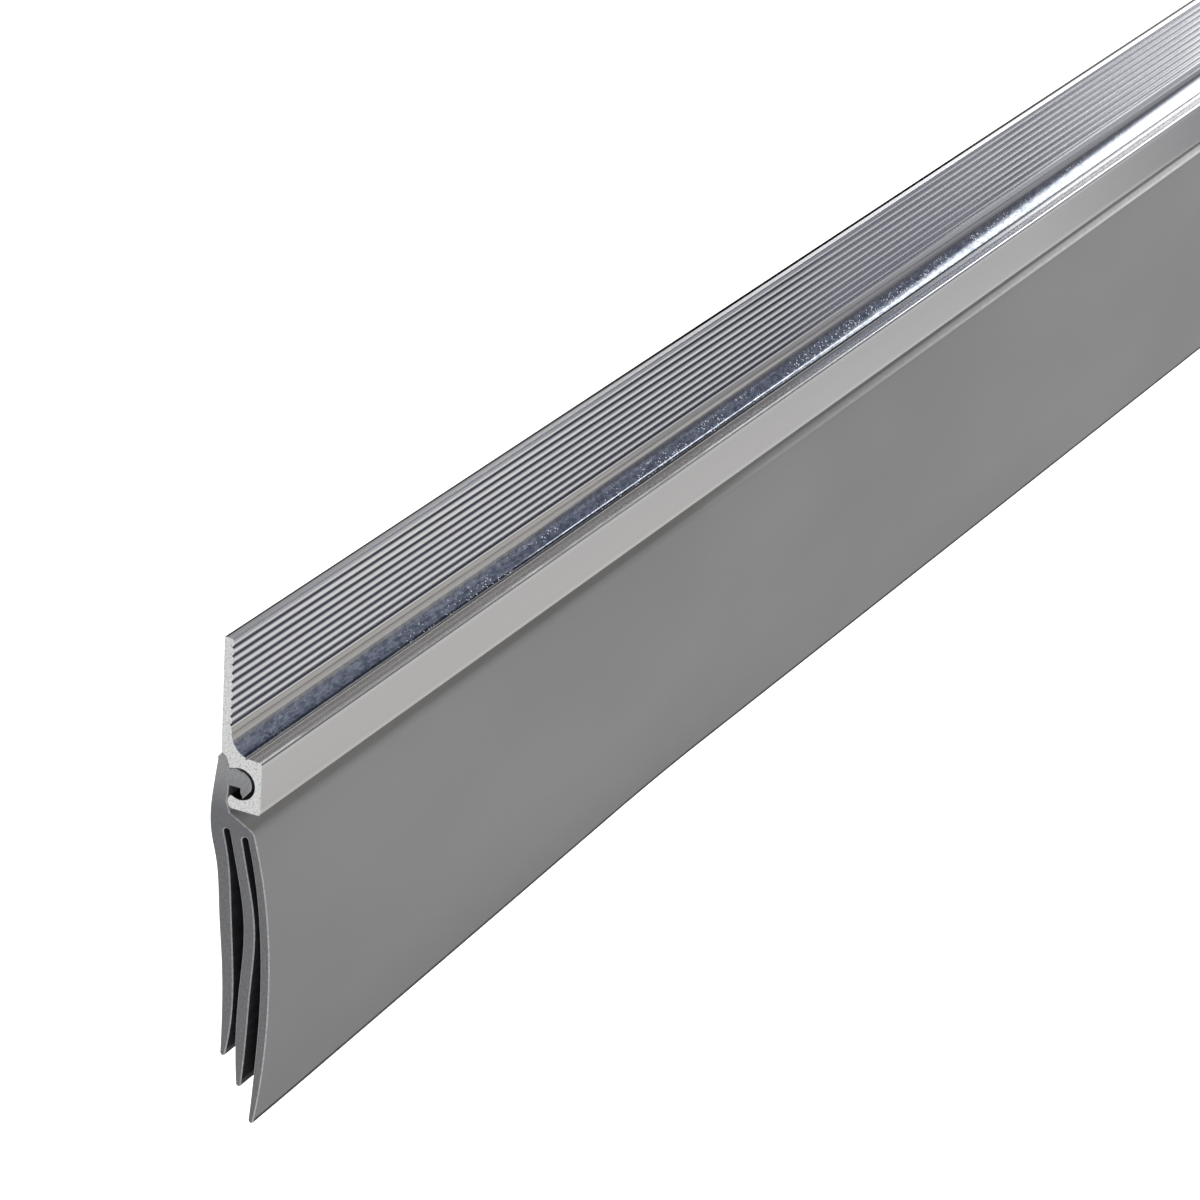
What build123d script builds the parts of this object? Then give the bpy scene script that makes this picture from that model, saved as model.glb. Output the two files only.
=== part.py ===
import math
import os

from build123d import *

os.makedirs("parts", exist_ok=True)

# A strip of door edge seal: an aluminium carrier that holds a rubber seal with three fins.
# The strip runs along X. Its flat back lies in the plane Y = 0 and its face looks to -Y.
# The origin is the middle of the flat back, where the strip lies on the door.
# Sizes are in millimetres. A size called "forward" counts from the flat back towards -Y,
# one called "back" counts towards +Y, and one called "drop" counts downwards.
strip_length = 1000.0

# Carrier, upright flange with ten fine grooves in its face
flange_wall = 1.2
flat_height = 13.4
top_round = 0.3
plain_top = 1.0
rib_pitch = 1.0
rib_crown = 0.08
groove_width = 0.36
groove_depth = 0.26
plain_foot = 0.8

# Carrier, cove that sweeps from the flange to the ledge on top of the box
cove_radius = 2.6
cove_forward = 2.95
cove_lip = 0.15
crease_width = 0.28
crease_depth = 0.16
ledge_fall = 0.08

# Carrier, box around a round socket that is open to the back
ledge_drop = 0.1
box_forward = 5.0
box_height = 6.2
box_edge_round = 0.15
socket_radius = 1.85
socket_front_wall = 0.75
socket_roof_wall = 1.25
mouth_angle = 143.0
mouth_corner_forward = 1.07
mouth_corner_drop = 0.18
recess_forward = 0.66
recess_drop = 0.3
lip_forward = 0.93
lip_bulge = 0.39
lip_rise = 0.19

# Seal, head: a nose behind the web and a tongue that hooks into the socket
fit_clearance = 0.1
nose_radius = 0.57
nose_turn = -20.0
tongue_radius = 1.5
tongue_shift = 0.1
tongue_turn = 110.0
tongue_thickness = 2.0
tongue_inner_forward = 2.42
tongue_tip_forward = 2.76
tongue_tip_clearance = 0.18
pocket_forward = 1.02

# Seal, body below the head
neck_back = 0.87
neck_back_drop = 4.0
bulge_back = 1.19
bulge_drop = 1.6
waist_back = 0.93
waist_drop = 3.9
wrap_angle = 25.0
neck_forward = 1.22
neck_drop = 0.58
shoulder_forward = 3.8
shoulder_drop = 1.94
shoulder_round = 1.3
shoulder_end_forward = 4.5
shoulder_end_drop = 2.9

# Seal, three fins parted by two slits with round tops
slit_radius = 0.4
rear_slit_forward = 0.93
rear_slit_drop = 2.55
front_slit_forward = 3.23
front_slit_drop = 3.0
fin_root_drop = 2.8
rear_fin_length = 25.5
middle_fin_length = 28.5
front_fin_length = 32.3
rear_fin_thickness = 1.65
middle_fin_thickness = 1.4
front_fin_thickness = 1.12
fin_tip_thickness = 0.64

# Where the middle of a fin lies, at these shares of its length from the root to the tip
fin_levels = (0.12, 0.35, 0.60, 0.82, 1.0)
rear_fin_forward = (0.40, 1.00, 1.50, 1.58, 1.22)
middle_fin_forward = (2.82, 4.06, 3.75, 3.42, 3.32)
front_fin_forward = (4.98, 6.03, 6.20, 5.72, 5.04)
# Share of the full thickness at the same levels, down to the rounded tip
rear_fin_fullness = (1.0, 0.95, 0.88, 0.76)
fin_fullness = (0.95, 1.0, 1.0, 0.92)

# Levels and centres that the profiles share
top = flat_height / 2
flat_foot = -flat_height / 2
ledge = flat_foot - ledge_drop
box_foot = ledge - box_height
fin_root = box_foot - fin_root_drop
socket_y = -(box_forward - socket_front_wall - socket_radius)
socket_z = ledge - socket_roof_wall - socket_radius


def around(center, radius, angle):
    """Point on a circle, with the angle in degrees from +Y towards +Z."""
    turn = math.radians(angle)
    return (center[0] + radius * math.cos(turn), center[1] + radius * math.sin(turn))


# Points where the seal bears on the carrier
socket = (socket_y, socket_z)
recess = (-recess_forward, ledge - recess_drop)
mouth_roof = around(socket, socket_radius, mouth_angle / 2)
mouth_floor = around(socket, socket_radius, -mouth_angle / 2)
mouth_corner = (-mouth_corner_forward, mouth_roof[1] - mouth_corner_drop)
lip_top = mouth_floor[1] + lip_rise
lip_middle = (lip_top + box_foot) / 2
lip_half = (lip_top - box_foot) / 2
lip_radius = (lip_half**2 + lip_bulge**2) / (2 * lip_bulge)
lip_center = (-lip_forward - lip_radius, lip_middle)

# Carrier: the face of the flange, from its top down to the cove
cove_turn = math.acos(1 - (cove_forward - flange_wall) / cove_radius)
cove_foot = ledge + cove_lip
cove_start = cove_foot + cove_radius * math.sin(cove_turn)
first_groove = top - plain_top
groove_count = int((first_groove - cove_start - plain_foot) / rib_pitch) + 1
groove_levels = [first_groove - rib_pitch * number for number in range(groove_count)]
face = -flange_wall
rib_edge = face + rib_crown
groove_floor = face + groove_depth

with BuildPart() as carrier_profile:
    with BuildSketch(Plane.YZ):
        with BuildLine():
            # Top edge and the rounded front corner
            corner = (rib_edge + top_round, top - top_round)
            Line((0, top), (corner[0], top))
            ThreePointArc((corner[0], top), around(corner, top_round, 135), (rib_edge, corner[1]))
            # Crowned ribs parted by vee grooves
            rib_start = corner[1]
            for level in groove_levels:
                rib_end = level + groove_width / 2
                rib_middle = (face, (rib_start + rib_end) / 2)
                ThreePointArc((rib_edge, rib_start), rib_middle, (rib_edge, rib_end))
                Line((rib_edge, rib_end), (groove_floor, level))
                rib_start = level - groove_width / 2
                Line((groove_floor, level), (rib_edge, rib_start))
            Line((rib_edge, rib_start), (face, cove_start))
            # Cove, the fine crease at its foot, and the ledge
            cove_center = (face - cove_radius, cove_start)
            cove_middle = around(cove_center, cove_radius, -math.degrees(cove_turn) / 2)
            ThreePointArc((face, cove_start), cove_middle, (-cove_forward, cove_foot))
            ledge_start = (-cove_forward - crease_width, ledge + ledge_fall)
            crease = (-cove_forward - crease_width / 2, ledge - crease_depth)
            ledge_end = (-box_forward + box_edge_round, ledge)
            Polyline((-cove_forward, cove_foot), crease, ledge_start, ledge_end)
            # Front and underside of the box
            edge = (-box_forward + box_edge_round, ledge - box_edge_round)
            ThreePointArc(ledge_end, around(edge, box_edge_round, 135), (-box_forward, edge[1]))
            foot = (-box_forward + box_edge_round, box_foot + box_edge_round)
            Line((-box_forward, edge[1]), (-box_forward, foot[1]))
            ThreePointArc((-box_forward, foot[1]), around(foot, box_edge_round, 225), (foot[0], box_foot))
            # Lip with its round nose, which keeps the tongue in the socket
            lip_end = -lip_forward - lip_bulge
            Line((foot[0], box_foot), (lip_end, box_foot))
            ThreePointArc((lip_end, box_foot), (-lip_forward, lip_middle), (lip_end, lip_top))
            Line((lip_end, lip_top), mouth_floor)
            # Round socket, the mouth's upper corner and the recess for the seal's nose
            CenterArc(socket, socket_radius, -mouth_angle / 2, mouth_angle - 360)
            Polyline(mouth_roof, mouth_corner, recess, (0, flat_foot), (0, top))
        make_face()
    extrude(amount=strip_length / 2, both=True)

carrier_profile.part.label = "carrier_profile"
export_step(carrier_profile.part, "parts/carrier_profile.step")


def fin_face(forward, length, thickness, side, fullness=fin_fullness):
    """Points down one face of a fin: side is 1 for its back and -1 for its front."""
    points = []
    for share, lies, full in zip(fin_levels, forward, fullness):
        points.append((side * full * thickness / 2 - lies, fin_root - share * length))
    points.append((side * fin_tip_thickness / 2 - forward[-1], fin_root - length + fin_tip_thickness / 2))
    return points


def fin_tip(forward, length):
    """Lowest point of a fin."""
    return (-forward[-1], fin_root - length)


# Seal: the nose lies in the corner of the recess, clear of both its sides
recess_angle = math.degrees(math.atan2(flat_foot - recess[1], -recess[0]))
web_angle = math.degrees(math.atan2(mouth_corner[1] - recess[1], mouth_corner[0] - recess[0]))
half_corner = math.radians(recess_angle - web_angle) / 2
nose_reach = (nose_radius + fit_clearance) / math.sin(half_corner)
nose_center = around(recess, nose_reach, (recess_angle + web_angle) / 2)
nose_front = web_angle + 270
nose_right = around(nose_center, nose_radius, nose_front)
nose_left = around(nose_center, nose_radius, nose_turn)
web_foot = around(mouth_corner, fit_clearance * math.sqrt(2), web_angle + 45)

# Seal: the tongue takes its place from the mouth and the socket
roof_angle = math.degrees(math.atan2(mouth_corner[1] - mouth_roof[1], mouth_corner[0] - mouth_roof[0]))
roof_touch = around(mouth_roof, fit_clearance, roof_angle - 90)
tongue_center = (socket_y + tongue_shift, socket_z)
tongue_top = around(tongue_center, tongue_radius, 90)
tongue_corner = around(tongue_center, tongue_radius, 90 + tongue_turn)
tip_reach = socket_radius - tongue_tip_clearance
tip_side = tongue_tip_forward + socket_y
tongue_tip = (-tongue_tip_forward, socket_z - math.sqrt(tip_reach**2 - tip_side**2))
pocket_roof = tongue_top[1] - tongue_thickness
tongue_inner = (-tongue_inner_forward, (pocket_roof + tongue_tip[1]) / 2)

with BuildPart() as fin_seal:
    with BuildSketch(Plane.YZ):
        with BuildLine():
            # Back of the seal, from its nose over the bulge and down the rear fin
            neck_bend = (neck_back, ledge - neck_back_drop)
            bulge = (bulge_back, box_foot - bulge_drop)
            waist = (waist_back, box_foot - waist_drop)
            rear = (rear_fin_forward, rear_fin_length, rear_fin_thickness)
            rear_back = fin_face(*rear, 1, rear_fin_fullness)
            Spline(nose_left, neck_bend, bulge, waist, *rear_back)
            rear_front = fin_face(*rear, -1, rear_fin_fullness)
            ThreePointArc(rear_back[-1], fin_tip(rear_fin_forward, rear_fin_length), rear_front[-1])
            # Rear slit, between the rear and the middle fin
            slit_side = box_foot - rear_slit_drop - slit_radius
            slit_back = (slit_radius - rear_slit_forward, slit_side)
            slit_front = (-slit_radius - rear_slit_forward, slit_side)
            Spline(slit_back, *rear_front)
            ThreePointArc(slit_back, (-rear_slit_forward, box_foot - rear_slit_drop), slit_front)
            middle = (middle_fin_forward, middle_fin_length, middle_fin_thickness)
            middle_back = fin_face(*middle, 1)
            Spline(slit_front, *middle_back)
            middle_front = fin_face(*middle, -1)
            ThreePointArc(middle_back[-1], fin_tip(middle_fin_forward, middle_fin_length), middle_front[-1])
            # Front slit, between the middle and the front fin
            slit_side = box_foot - front_slit_drop - slit_radius
            slit_back = (slit_radius - front_slit_forward, slit_side)
            slit_front = (-slit_radius - front_slit_forward, slit_side)
            Spline(slit_back, *middle_front)
            ThreePointArc(slit_back, (-front_slit_forward, box_foot - front_slit_drop), slit_front)
            front = (front_fin_forward, front_fin_length, front_fin_thickness)
            front_back = fin_face(*front, 1)
            Spline(slit_front, *front_back)
            front_front = fin_face(*front, -1)
            ThreePointArc(front_back[-1], fin_tip(front_fin_forward, front_fin_length), front_front[-1])
            # Shoulder under the box
            shoulder_end = (-shoulder_end_forward, box_foot - shoulder_end_drop)
            shoulder = (-shoulder_forward, box_foot - shoulder_drop)
            Spline(shoulder_end, *front_front)
            RadiusArc(shoulder_end, shoulder, shoulder_round)
            # Neck, hollowed round the lip's nose
            neck_foot = (-neck_forward, box_foot - neck_drop)
            wrap_radius = lip_radius + fit_clearance
            wrap_low = around(lip_center, wrap_radius, -wrap_angle)
            wrap_high = around(lip_center, wrap_radius, wrap_angle)
            Polyline(shoulder, neck_foot, wrap_low)
            ThreePointArc(wrap_low, around(lip_center, wrap_radius, 0), wrap_high)
            # Pocket and the inner side of the tongue, then its tip and its round outer side
            Polyline(
                wrap_high,
                (-pocket_forward, pocket_roof),
                (-tongue_inner_forward, pocket_roof),
                tongue_inner,
                tongue_tip,
                tongue_corner,
            )
            CenterArc(tongue_center, tongue_radius, 90 + tongue_turn, -tongue_turn)
            Polyline(tongue_top, roof_touch, web_foot, nose_right)
            CenterArc(nose_center, nose_radius, nose_front, nose_turn - nose_front)
        make_face()
    extrude(amount=strip_length / 2, both=True)

fin_seal.part.label = "fin_seal"
export_step(fin_seal.part, "parts/fin_seal.step")
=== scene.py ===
"""Looks of a door weatherstrip: a ribbed aluminium carrier and its grey rubber seal with three fins."""

import math
from types import SimpleNamespace

import bpy
import mathutils
import numpy as np
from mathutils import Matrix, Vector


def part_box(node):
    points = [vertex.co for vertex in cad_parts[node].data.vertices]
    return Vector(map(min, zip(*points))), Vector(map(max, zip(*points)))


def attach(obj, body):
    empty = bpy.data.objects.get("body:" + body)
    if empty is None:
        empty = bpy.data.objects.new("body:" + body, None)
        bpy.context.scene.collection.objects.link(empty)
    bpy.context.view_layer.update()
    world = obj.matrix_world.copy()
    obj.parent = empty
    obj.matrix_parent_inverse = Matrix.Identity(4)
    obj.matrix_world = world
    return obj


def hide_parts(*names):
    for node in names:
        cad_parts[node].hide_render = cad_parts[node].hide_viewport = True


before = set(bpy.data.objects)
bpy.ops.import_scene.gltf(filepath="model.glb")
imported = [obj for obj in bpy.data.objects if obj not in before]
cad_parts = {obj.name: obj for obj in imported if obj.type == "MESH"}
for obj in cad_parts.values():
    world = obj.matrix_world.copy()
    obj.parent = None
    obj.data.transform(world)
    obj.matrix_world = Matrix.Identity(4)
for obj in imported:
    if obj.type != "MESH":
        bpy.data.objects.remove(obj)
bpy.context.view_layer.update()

MM = 0.001
carrier_low, carrier_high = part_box("carrier_profile")
NEAR_END = carrier_low.x / MM
FAR_END = carrier_high.x / MM

# Section sizes in millimetres, the same as the solids have but for the box's edge round, which is 0.15 there.
# Sections are drawn as (y, z).
FLANGE_WALL = 1.2
FLAT_HEIGHT = 13.4
TOP_ROUND = 0.3
PLAIN_TOP = 1.0
RIB_PITCH = 1.0
RIB_CROWN = 0.08
GROOVE_COUNT = 10
GROOVE_WIDTH = 0.36
GROOVE_DEPTH = 0.26
COVE_RADIUS = 2.6
COVE_FORWARD = 2.95
COVE_LIP = 0.15
CREASE_WIDTH = 0.28
CREASE_DEPTH = 0.16
LEDGE_FALL = 0.08
LEDGE_DROP = 0.1
BOX_FORWARD = 5.0
BOX_HEIGHT = 6.2
BOX_EDGE_ROUND = 0.25
SOCKET_RADIUS = 1.85
SOCKET_FRONT_WALL = 0.75
SOCKET_ROOF_WALL = 1.25
MOUTH_ANGLE = 143.0
MOUTH_CORNER = (1.07, 0.18)
RECESS = (0.66, 0.3)
LIP_FORWARD = 0.93
LIP_BULGE = 0.39
LIP_RISE = 0.19

# A fine broken edge at the top of the flat back, which the solid has square, and a line of painted shade
# along it
BACK_EDGE = 0.05
BACK_LINE = 0.48

FIT_CLEARANCE = 0.1
NOSE_RADIUS = 0.57
NOSE_TURN = -20.0
TONGUE_RADIUS = 1.5
TONGUE_SHIFT = 0.1
TONGUE_TURN = 110.0
TONGUE_THICKNESS = 2.0
TONGUE_INNER_FORWARD = 2.42
TONGUE_TIP_FORWARD = 2.76
TONGUE_TIP_CLEARANCE = 0.18
POCKET_FORWARD = 1.02
NECK_BACK = (0.87, 4.0)
BULGE = (1.19, 1.6)
WAIST = (0.93, 3.9)
WRAP_ANGLE = 25.0
NECK = (1.22, 0.58)
SHOULDER = (3.8, 1.94)
SHOULDER_ROUND = 1.3
SHOULDER_END = (4.5, 2.9)
SLIT_RADIUS = 0.4
REAR_SLIT = (0.93, 2.55)
FRONT_SLIT = (3.23, 3.0)
FIN_ROOT_DROP = 2.8
FIN_TIP_THICKNESS = 0.64
FIN_LEVELS = (0.12, 0.35, 0.60, 0.82, 1.0)
REAR_FIN = dict(
    length=25.5, thickness=1.65, forward=(0.40, 1.00, 1.50, 1.58, 1.22), fullness=(1.0, 0.95, 0.88, 0.76)
)
MIDDLE_FIN = dict(
    length=28.5, thickness=1.4, forward=(2.82, 4.06, 3.75, 3.42, 3.32), fullness=(0.95, 1.0, 1.0, 0.92)
)
FRONT_FIN = dict(
    length=32.3, thickness=1.12, forward=(4.98, 6.03, 6.20, 5.72, 5.04), fullness=(0.95, 1.0, 1.0, 0.92)
)

# Levels and centres that both sections share
TOP = FLAT_HEIGHT / 2
FLAT_FOOT = -FLAT_HEIGHT / 2
LEDGE = FLAT_FOOT - LEDGE_DROP
BOX_FOOT = LEDGE - BOX_HEIGHT
FIN_ROOT = BOX_FOOT - FIN_ROOT_DROP
SOCKET = (-(BOX_FORWARD - SOCKET_FRONT_WALL - SOCKET_RADIUS), LEDGE - SOCKET_ROOF_WALL - SOCKET_RADIUS)

# How fine the meshes are: degrees of an arc to a facet, and millimetres of a smooth curve to a step
FACET = 7.0
LARGE_ARC_FACET = 4.0
SMALL_ARC_FACET = 12.0
EDGE_FACET = 15.0
FIN_TIP_FACET = 20.0
BROKEN_EDGE_FACET = 45.0
CURVE_STEP = 0.6
SAME_POINT = 1e-6

# The turn in degrees above which an edge stays crisp, and the limit that keeps the corners of an inset short
SHARP_TURN = 22.0
MITRE_LIMIT = 0.2


def around(center, radius, angle):
    """Point on a circle, with the angle in degrees from +Y towards +Z."""
    turn = math.radians(angle)
    return (center[0] + radius * math.cos(turn), center[1] + radius * math.sin(turn))


def arc(center, radius, start, turn, facet=FACET):
    """Points of an arc that starts at an angle and turns by another, both in degrees."""
    steps = max(2, math.ceil(abs(turn) / facet))
    return [around(center, radius, start + turn * number / steps) for number in range(steps + 1)]


def arc_through(first, middle, last, facet=FACET):
    """Points of the arc through three points."""
    (ax, ay), (bx, by), (cx, cy) = first, middle, last
    spread = 2 * (ax * (by - cy) + bx * (cy - ay) + cx * (ay - by))
    a, b, c = ax**2 + ay**2, bx**2 + by**2, cx**2 + cy**2
    center = (
        (a * (by - cy) + b * (cy - ay) + c * (ay - by)) / spread,
        (a * (cx - bx) + b * (ax - cx) + c * (bx - ax)) / spread,
    )
    angles = [math.degrees(math.atan2(y - center[1], x - center[0])) for x, y in (first, middle, last)]
    half = (angles[1] - angles[0] + 180) % 360 - 180
    other = (angles[2] - angles[1] + 180) % 360 - 180
    return arc(center, math.dist(center, first), angles[0], half + other, facet)


def smooth(points):
    """Points of a smooth curve through the given ones."""
    given = np.array(points, float)
    gaps = np.linalg.norm(np.diff(given, axis=0), axis=1)
    slopes = np.diff(given, axis=0) / gaps[:, None]
    count = len(given)
    matrix = np.eye(count)
    right = np.zeros_like(given)
    right[0] = slopes[0] + (slopes[0] - slopes[1]) * gaps[0] / (gaps[0] + gaps[1])
    right[-1] = slopes[-1] + (slopes[-1] - slopes[-2]) * gaps[-1] / (gaps[-1] + gaps[-2])
    for i in range(1, count - 1):
        matrix[i, i - 1 : i + 2] = gaps[i], 2 * (gaps[i - 1] + gaps[i]), gaps[i - 1]
        right[i] = 3 * (gaps[i] * slopes[i - 1] + gaps[i - 1] * slopes[i])
    tangents = np.linalg.solve(matrix, right)
    curve = []
    for i, gap in enumerate(gaps):
        steps = max(2, math.ceil(gap / CURVE_STEP))
        for t in np.arange(steps) / steps:
            curve.append(
                (1 + 2 * t) * (1 - t) ** 2 * given[i]
                + t * (1 - t) ** 2 * gap * tangents[i]
                + t**2 * (3 - 2 * t) * given[i + 1]
                + t**2 * (t - 1) * gap * tangents[i + 1]
            )
    return [tuple(point) for point in curve] + [tuple(given[-1])]


def joined(*runs):
    """One closed outline from runs of points, without its doubled points."""
    outline = []
    for point in [point for run in runs for point in run]:
        if not outline or math.dist(point, outline[-1]) > SAME_POINT:
            outline.append(point)
    if math.dist(outline[0], outline[-1]) < SAME_POINT:
        outline.pop()
    return outline


# Corners of the socket's mouth, where the seal bears on the carrier
recess = (-RECESS[0], LEDGE - RECESS[1])
mouth_roof = around(SOCKET, SOCKET_RADIUS, MOUTH_ANGLE / 2)
mouth_floor = around(SOCKET, SOCKET_RADIUS, -MOUTH_ANGLE / 2)
mouth_corner = (-MOUTH_CORNER[0], mouth_roof[1] - MOUTH_CORNER[1])
lip_top = mouth_floor[1] + LIP_RISE
lip_middle = (lip_top + BOX_FOOT) / 2
lip_half = (lip_top - BOX_FOOT) / 2
lip_radius = (lip_half**2 + LIP_BULGE**2) / (2 * LIP_BULGE)
lip_center = (-LIP_FORWARD - lip_radius, lip_middle)


def back_edge():
    """Points of the broken edge at the top of the flat back and of the line of painted shade along it."""
    center = (-BACK_EDGE, TOP - BACK_EDGE)
    return [*arc(center, BACK_EDGE, 0, 90, BROKEN_EDGE_FACET), (-BACK_LINE, TOP)]


def carrier_outline():
    """Section of the aluminium carrier, from the top of its flat back over its face."""
    face = -FLANGE_WALL
    rib_edge = face + RIB_CROWN
    corner = (rib_edge + TOP_ROUND, TOP - TOP_ROUND)
    runs = [back_edge(), arc(corner, TOP_ROUND, 90, 90, EDGE_FACET)]
    rib_start = corner[1]
    for number in range(GROOVE_COUNT):
        level = TOP - PLAIN_TOP - RIB_PITCH * number
        rib_end = level + GROOVE_WIDTH / 2
        crown = (face, (rib_start + rib_end) / 2)
        runs.append(arc_through((rib_edge, rib_start), crown, (rib_edge, rib_end)))
        runs.append([(face + GROOVE_DEPTH, level)])
        rib_start = level - GROOVE_WIDTH / 2
    runs.append([(rib_edge, rib_start)])
    cove_turn = math.acos(1 - (COVE_FORWARD - FLANGE_WALL) / COVE_RADIUS)
    cove_center = (face - COVE_RADIUS, LEDGE + COVE_LIP + COVE_RADIUS * math.sin(cove_turn))
    runs.append(arc(cove_center, COVE_RADIUS, 0, -math.degrees(cove_turn), LARGE_ARC_FACET))
    runs.append([(-COVE_FORWARD - CREASE_WIDTH / 2, LEDGE - CREASE_DEPTH)])
    runs.append([(-COVE_FORWARD - CREASE_WIDTH, LEDGE + LEDGE_FALL)])
    upper = (-BOX_FORWARD + BOX_EDGE_ROUND, LEDGE - BOX_EDGE_ROUND)
    lower = (upper[0], BOX_FOOT + BOX_EDGE_ROUND)
    runs.append(arc(upper, BOX_EDGE_ROUND, 90, 90, EDGE_FACET))
    runs.append(arc(lower, BOX_EDGE_ROUND, 180, 90, EDGE_FACET))
    lip_end = -LIP_FORWARD - LIP_BULGE
    runs.append(arc_through((lip_end, BOX_FOOT), (-LIP_FORWARD, lip_middle), (lip_end, lip_top)))
    runs.append(arc(SOCKET, SOCKET_RADIUS, -MOUTH_ANGLE / 2, MOUTH_ANGLE - 360, LARGE_ARC_FACET))
    runs.append([mouth_corner, recess, (0, FLAT_FOOT)])
    return joined(*runs)


def fin_face(fin, side):
    """Points down one face of a fin: side is 1 for its back and -1 for its front."""
    points = []
    for share, lies, full in zip(FIN_LEVELS, fin["forward"], fin["fullness"]):
        points.append((side * full * fin["thickness"] / 2 - lies, FIN_ROOT - share * fin["length"]))
    tip = FIN_ROOT - fin["length"] + FIN_TIP_THICKNESS / 2
    points.append((side * FIN_TIP_THICKNESS / 2 - fin["forward"][-1], tip))
    return points


def fin_end(fin):
    """Round end of a fin, from its back to its front."""
    low = (-fin["forward"][-1], FIN_ROOT - fin["length"])
    return arc_through(fin_face(fin, 1)[-1], low, fin_face(fin, -1)[-1], FIN_TIP_FACET)


def front_face():
    """Points from the shoulder down the seal's face, with one more near its tip where the painted shade of
    the tip begins.
    """
    points = smooth([(-SHOULDER_END[0], BOX_FOOT - SHOULDER_END[1]), *fin_face(FRONT_FIN, -1)])
    halfway = tuple((a + b) / 2 for a, b in zip(*points[-2:]))
    return [*points[:-1], halfway, points[-1]]


def slit(place, fin_behind, fin_before):
    """Slit between two fins: up the front of the one behind, over its round top and down the next."""
    side = BOX_FOOT - place[1] - SLIT_RADIUS
    back, front = (SLIT_RADIUS - place[0], side), (-SLIT_RADIUS - place[0], side)
    return (
        smooth([back, *fin_face(fin_behind, -1)])[::-1]
        + arc_through(back, (-place[0], BOX_FOOT - place[1]), front, SMALL_ARC_FACET)
        + smooth([front, *fin_face(fin_before, 1)])
    )


def tongue():
    """Points of the tongue in its socket, from the pocket behind it round to its top."""
    center = (SOCKET[0] + TONGUE_SHIFT, SOCKET[1])
    tip_reach = SOCKET_RADIUS - TONGUE_TIP_CLEARANCE
    tip_side = TONGUE_TIP_FORWARD + SOCKET[0]
    tip = (-TONGUE_TIP_FORWARD, SOCKET[1] - math.sqrt(tip_reach**2 - tip_side**2))
    roof = center[1] + TONGUE_RADIUS - TONGUE_THICKNESS
    inner = (-TONGUE_INNER_FORWARD, (roof + tip[1]) / 2)
    back = arc(center, TONGUE_RADIUS, 90 + TONGUE_TURN, -TONGUE_TURN)
    return [(-POCKET_FORWARD, roof), (-TONGUE_INNER_FORWARD, roof), inner, tip, *back]


def shoulder():
    """Points of the seal's rounded shoulder, from its lower end up to the neck."""
    low = (-SHOULDER_END[0], BOX_FOOT - SHOULDER_END[1])
    high = (-SHOULDER[0], BOX_FOOT - SHOULDER[1])
    middle = ((high[0] + low[0]) / 2, (high[1] + low[1]) / 2)
    chord = math.dist(high, low)
    rise = SHOULDER_ROUND - math.sqrt(SHOULDER_ROUND**2 - (chord / 2) ** 2)
    outward = ((low[1] - high[1]) / chord, -(low[0] - high[0]) / chord)
    crown = (middle[0] + rise * outward[0], middle[1] + rise * outward[1])
    return arc_through(low, crown, high)


def seal_outline():
    """Section of the rubber seal, from its nose down the back, round the fins and up to the tongue."""
    recess_angle = math.degrees(math.atan2(FLAT_FOOT - recess[1], -recess[0]))
    web_angle = math.degrees(math.atan2(mouth_corner[1] - recess[1], mouth_corner[0] - recess[0]))
    nose_reach = (NOSE_RADIUS + FIT_CLEARANCE) / math.sin(math.radians(recess_angle - web_angle) / 2)
    nose_center = around(recess, nose_reach, (recess_angle + web_angle) / 2)
    nose_front = web_angle + 270
    web_foot = around(mouth_corner, FIT_CLEARANCE * math.sqrt(2), web_angle + 45)
    roof_angle = math.degrees(math.atan2(mouth_corner[1] - mouth_roof[1], mouth_corner[0] - mouth_roof[0]))
    roof_touch = around(mouth_roof, FIT_CLEARANCE, roof_angle - 90)
    back = [
        around(nose_center, NOSE_RADIUS, NOSE_TURN),
        (NECK_BACK[0], LEDGE - NECK_BACK[1]),
        (BULGE[0], BOX_FOOT - BULGE[1]),
        (WAIST[0], BOX_FOOT - WAIST[1]),
        *fin_face(REAR_FIN, 1),
    ]
    wrap = [around(lip_center, lip_radius + FIT_CLEARANCE, angle) for angle in (-WRAP_ANGLE, 0, WRAP_ANGLE)]
    return joined(
        smooth(back),
        fin_end(REAR_FIN),
        slit(REAR_SLIT, REAR_FIN, MIDDLE_FIN),
        fin_end(MIDDLE_FIN),
        slit(FRONT_SLIT, MIDDLE_FIN, FRONT_FIN),
        fin_end(FRONT_FIN),
        front_face()[::-1],
        shoulder(),
        [(-NECK[0], BOX_FOOT - NECK[1])],
        arc_through(*wrap),
        tongue(),
        [roof_touch, web_foot],
        arc(nose_center, NOSE_RADIUS, nose_front, NOSE_TURN - nose_front, SMALL_ARC_FACET),
    )


def shaded_points():
    """Points of the seal's section in its slits, round its tongue and at its front fin's tip, which get
    painted shade.
    """
    slits = slit(REAR_SLIT, REAR_FIN, MIDDLE_FIN) + slit(FRONT_SLIT, MIDDLE_FIN, FRONT_FIN)
    return {*slits, *tongue(), *fin_end(FRONT_FIN), front_face()[-2]}


def inset(outline, depth):
    """The outline moved inwards by a small depth."""
    points = np.array(outline)
    ahead = np.roll(points, -1, axis=0) - points
    ahead /= np.linalg.norm(ahead, axis=1)[:, None]
    behind = np.roll(ahead, 1, axis=0)
    normal = np.stack([-(ahead + behind)[:, 1], (ahead + behind)[:, 0]], axis=1)
    normal /= np.maximum(np.linalg.norm(normal, axis=1), MITRE_LIMIT)[:, None]
    area = np.sum(points[:, 0] * np.roll(points[:, 1], -1) - points[:, 1] * np.roll(points[:, 0], -1))
    return points + normal * depth * (1 if area > 0 else -1)


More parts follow.
